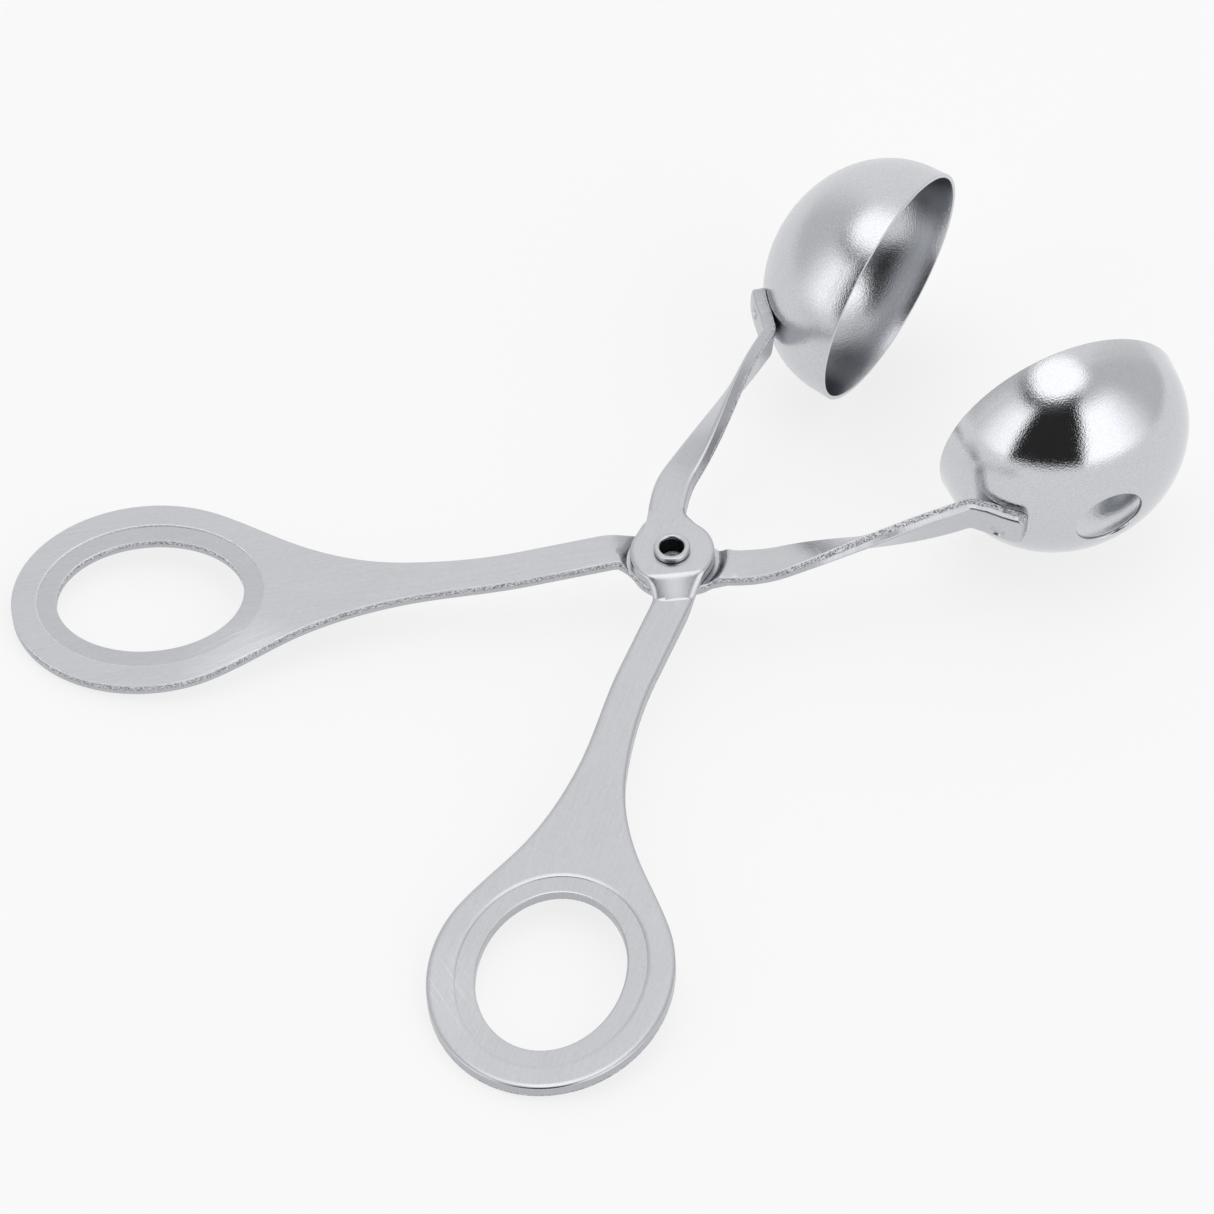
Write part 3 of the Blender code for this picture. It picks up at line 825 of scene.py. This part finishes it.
def polished(name, dull, peel):
    """The outside of a cup: steel polished to a soft mirror over a faint orange peel."""
    material, tree, shader = new_material(name)
    fine = noise(tree, piece_place(tree), peel_fineness, 2, 0.6)
    haze = ramp(tree, noise(tree, piece_place(tree), haze_fineness), 0.3, 0.7)
    rough = scaled(tree, haze, dull * 0.4, dull * 0.8)
    finish(tree, shader, tinted(tree, fine, *polish_shades), rough, fine, peel)
    return material


satin_inside, tree, shader = new_material("satin_cup_inside")
look = use(tree, grain, Place=piece_place(tree), Contrast=1.0)
rough = scaled(tree, look["Dullness"], 0.06, 0.56)
finish(tree, shader, tinted(tree, look["Tone"], *inside_shades), rough, look["Height"], inside_relief)

drawn.data.materials.append(satin_inside)
drawn.data.materials.append(satin_inside)
at_neck = Matrix.Translation((cup_reach, 0, 0)) @ Matrix.Rotation(-neck_twist, 4, "X")
for name, where, body, dull, peel in (
    ("upper", upper, "upper_half", 0.2, 0.036 * mm),
    ("lower", lower, "lower_half", 0.08, 0.022 * mm),
):
    cup = placed(drawn, f"{name}_drawn_cup", where @ at_neck)
    cup.data.materials[0] = polished(f"{name}_cup_polish", dull, peel)
    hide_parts(f"{name}_cup")
    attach(cup, body)
bpy.data.objects.remove(drawn)

# Rivet: a semi-tubular steel rivet. Its hollow end is rolled over on the upper boss, and its own low
# domed head is under the lower one. The drilled bore's wall is painted nearly black as shade, and its floor
# is painted bright as a highlight.
running_gap = 0.2 * mm
rivet_radius = 2.5 * mm
bore_radius = 1.98 * mm
bore_depth = 3.8 * mm
bore_corner = 0.35 * mm
bore_tip_share = 0.02
bore_floor_share = 0.9
lip_depth = 0.45 * mm
rolled_radius = 2.95 * mm
rolled_height = 0.8 * mm
roll_squareness = 0.55
head_radius = 4.0 * mm
head_height = 1.3 * mm
head_edge = 0.4 * mm
rivet_turns = 72
roll_steps = 12
rivet_crease = 40 * degree
rivet_shades = (0.85, 1.1)
rivet_relief = 0.008 * mm
bore_fineness = 3500
bore_relief = 0.03 * mm

seat = level + sheet / 2 + running_gap
top = seat + rolled_height
roll_middle, roll_half = (rolled_radius + bore_radius) / 2, (rolled_radius - bore_radius) / 2
roll_edge = seat + rolled_height / 3
profile = [
    (bore_radius * bore_tip_share, top - bore_depth - roll_half),
    (bore_radius * bore_floor_share, top - bore_depth),
    (bore_radius, top - bore_depth + roll_half / 2),
]
for n in range(roll_steps + 1):
    turn = math.pi * (1 - n / roll_steps)
    aside = math.copysign(abs(math.cos(turn)) ** roll_squareness, math.cos(turn))
    height = roll_edge + (top - roll_edge) * abs(math.sin(turn)) ** roll_squareness
    profile.append((roll_middle + roll_half * aside, height))
profile += [(rolled_radius, seat), (rivet_radius, seat), (rivet_radius, -seat), (head_radius, -seat)]
for n in range(roll_steps):
    turn = math.pi / 2 * n / roll_steps
    drop = head_edge + (head_height - head_edge) * math.sin(turn)
    profile.append((head_radius * math.cos(turn), -seat - drop))
rivet = lathe("rivet", profile, rivet_turns)
bpy.ops.object.shade_smooth_by_angle(angle=rivet_crease)

bright, tree, shader = new_material("rolled_rivet_steel")
look = use(tree, grain, Place=piece_place(tree), Contrast=1.2)
rough = scaled(tree, look["Dullness"], 0.06, 0.27)
finish(tree, shader, tinted(tree, look["Tone"], *rivet_shades), rough, look["Height"], rivet_relief)
rivet.data.materials.append(bright)
# The bore's two steels: its wall gets painted shade, nearly black, and its floor a painted highlight, lighter
# than the steel.
for name, shades, least_rough in (
    ("bore_wall_painted_shade", (0.02, 0.12), 0.5),
    ("bore_floor_painted_highlight", (0.5, 1.7), 0.45),
):
    bore_painted_light_and_shade, tree, shader = new_material(name)
    specks = ramp(tree, noise(tree, piece_place(tree), bore_fineness, 3, 0.6), 0.35, 0.65)
    rough = scaled(tree, specks, 0.1, least_rough)
    finish(tree, shader, tinted(tree, specks, *shades), rough, specks, bore_relief)
    rivet.data.materials.append(bore_painted_light_and_shade)
# Faces deep in the bore get the painted shade, and those at its floor get the painted highlight.
for face in rivet.data.polygons:
    if face.center.xy.length < bore_radius and face.center.z < top - lip_depth:
        face.material_index = 2 if face.center.z < top - bore_depth + bore_corner else 1
finished_rivet = placed(rivet, "rolled_rivet", tongs)
bpy.data.objects.remove(rivet)
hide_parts("pivot_rivet")
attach(finished_rivet, "lower_half")

# Floor: a white sheet that the tongs lie on, just low enough for the flare of a cup's rim. It keeps the
# shadow, and shows as white to the camera and in the steel.
floor_size = 6.0
floor_drop = 0.1 * mm
floor_white = 0.75
paper_colour = (0.9, 0.9, 0.9, 1)
paper_roughness = 0.9

bpy.ops.mesh.primitive_plane_add(size=floor_size, location=(0, 0, -floor_drop))
floor = bpy.context.active_object
floor.name = "floor"
paper, tree, shader = new_material("white_paper", metallic=0)
shader.inputs["Base Color"].default_value = paper_colour
shader.inputs["Roughness"].default_value = paper_roughness
shader.inputs["Specular IOR Level"].default_value = 0
seen = add(tree, "ShaderNodeLightPath").outputs
seen_rays = maths(tree, "MAXIMUM", seen["Is Camera Ray"], seen["Is Glossy Ray"])
seen_rays = maths(tree, "MAXIMUM", seen_rays, seen["Is Transmission Ray"])
glow = add(tree, "ShaderNodeEmission", Color=(1, 1, 1, 1), Strength=1.0)
both = add(tree, "ShaderNodeMixShader", Fac=maths(tree, "MULTIPLY", seen_rays, floor_white))
tree.links.new(shader.outputs[0], both.inputs[1])
tree.links.new(glow.outputs[0], both.inputs[2])
tree.links.new(both.outputs[0], tree.nodes["Material Output"].inputs["Surface"])
floor.data.materials.append(paper)

# Studio: a soft box on each side of the camera and a round one overhead, in a pale room that is dark
# between the boxes. Angles are in degrees: round the room they count from behind the camera, positive on
# its left. A box has two angles round, two up and its level, and each angle is followed by its softness.
view_way = Vector((0.4824, 0.5039, -0.7165)).normalized()
wall_level, far_wall_level = 0.7, 0.97
far_wall_from, far_wall_full = 125, 165
right_box = (-75, 26, -25, 2, -30, 5, 56, 12, 1.6)
left_box = (40, 3, 76, 26, -30, 5, 48, 14, 1.5)
dark_behind = (-25, 2, 40, 3, 0, 1, 67, 4, 0.03)
overhead_lean = 8 * degree
overhead_edge, overhead_full, overhead_level = 27.5, 18, 1.6
shade_edge, shade_full, shade_level = 37, 29, 0.12
shade_sides = (-35, 12, 95, 25)

away = Vector((view_way.x, view_way.y, 0)).normalized()
studio = bpy.data.worlds.new("studio")
bpy.context.scene.world = studio
studio.use_nodes = True
tree = studio.node_tree
background = tree.nodes["Background"]
background.inputs["Color"].default_value = (1, 1, 1, 1)
way = add(tree, "ShaderNodeTexCoord").outputs["Generated"]
part = add(tree, "ShaderNodeSeparateXYZ", Vector=way).outputs
back = scaled(tree, part["X"], -away.x, maths(tree, "MULTIPLY", part["Y"], -away.y))
right = scaled(tree, part["X"], away.y, maths(tree, "MULTIPLY", part["Y"], -away.x))
left = maths(tree, "MULTIPLY", right, -1)
round_way = maths(tree, "MULTIPLY", maths(tree, "ARCTAN2", left, back), 1 / degree)
rise = maths(tree, "MULTIPLY", maths(tree, "ARCSINE", part["Z"]), 1 / degree)


def window(value, low, low_soft, high, high_soft):
    """1 between two angles, with soft edges."""
    first = ramp(tree, value, low - low_soft, low + low_soft)
    return maths(tree, "MULTIPLY", first, ramp(tree, value, high + high_soft, high - high_soft))


from_behind = maths(tree, "ABSOLUTE", round_way)
room = ramp(tree, from_behind, far_wall_from, far_wall_full, wall_level, far_wall_level)
for low, low_soft, high, high_soft, bottom, bottom_soft, top_rise, top_soft, strength in (
    right_box, left_box, dark_behind,
):
    across = window(round_way, low, low_soft, high, high_soft)
    upright = window(rise, bottom, bottom_soft, top_rise, top_soft)
    room = mixed(tree, maths(tree, "MULTIPLY", across, upright), room, strength)
overhead = (away.y * Vector((-1, 0, 0)) + away.x * Vector((0, 1, 0))) * math.sin(overhead_lean)
overhead.z = math.cos(overhead_lean)
nearness = add(tree, "ShaderNodeVectorMath", _0=way, _1=tuple(overhead))
nearness.operation = "DOT_PRODUCT"
from_overhead = maths(tree, "MULTIPLY", maths(tree, "ARCCOSINE", nearness.outputs["Value"]), 1 / degree)
shade = ramp(tree, from_overhead, shade_edge, shade_full)
shade = maths(tree, "MULTIPLY", shade, window(round_way, *shade_sides))
room = mixed(tree, shade, room, shade_level)
room = mixed(tree, ramp(tree, from_overhead, overhead_edge, overhead_full), room, overhead_level)
tree.links.new(room, background.inputs["Strength"])

# Camera: a long lens at the photo's viewing angle, where a fit of the tongs to the photo puts it. The
# photo's view is rolled a little, so image_right isn't level.
eye = Vector((-0.5376, -0.5491, 0.7910))
image_right = Vector((0.761, -0.6462, 0.058)).normalized()
image_right = (image_right - image_right.dot(view_way) * view_way).normalized()
lens = bpy.data.cameras.new("long_lens")
lens.sensor_width = 36
lens.lens = 201.04
camera = bpy.data.objects.new("camera", lens)
bpy.context.scene.collection.objects.link(camera)
image_up = image_right.cross(view_way)
facing = Matrix((image_right, image_up, -view_way)).transposed()
camera.matrix_world = Matrix.Translation(eye) @ facing.to_4x4()
bpy.context.scene.camera = camera
bpy.context.scene.view_settings.view_transform = "Standard"
